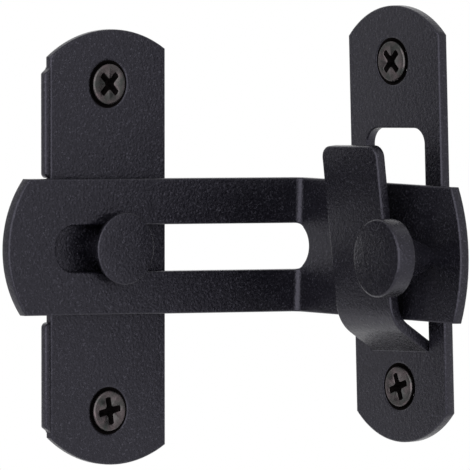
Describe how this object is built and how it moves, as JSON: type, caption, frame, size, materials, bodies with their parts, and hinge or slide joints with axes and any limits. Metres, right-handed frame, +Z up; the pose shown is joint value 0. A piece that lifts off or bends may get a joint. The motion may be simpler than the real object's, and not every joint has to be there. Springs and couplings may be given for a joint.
{
  "type": "flip latch",
  "caption": "Right-angle flip latch: a slotted bar swings on a headed stud and drops its bent leg behind the tongue of a keeper plate.",
  "frame": {"origin": "on the stud's axis, on the back face of the base plate", "axes": "+X along the bar towards the keeper, -Y away from the door, +Z up"},
  "size_m": [0.0857, 0.0606, 0.0839],
  "materials": {
    "powder_coat": "fine sand-texture black powder coat",
    "black_oxide": "satin black oxide"
  },
  "bodies": {
    "base": {"base_plate": "powder_coat", "base_screw_upper": "black_oxide", "base_screw_lower": "black_oxide", "keeper_plate": "powder_coat", "keeper_screw_upper": "black_oxide", "keeper_screw_lower": "black_oxide"},
    "stud": {"slide_stud": "powder_coat"},
    "bar": {"latch_bar": "powder_coat", "grip_knob": "powder_coat"}
  },
  "joints": [
    {"name": "bar_swing", "type": "hinge", "parent": "base", "child": "stud", "pos_m": [0, 0, 0], "axis": [0, -1, 0], "range_deg": [0, 180]},
    {"name": "bar_slide", "type": "slide", "parent": "stud", "child": "bar", "axis": [0.9996, 0, -0.0297], "range_m": [0, 0.0013]}
  ]
}
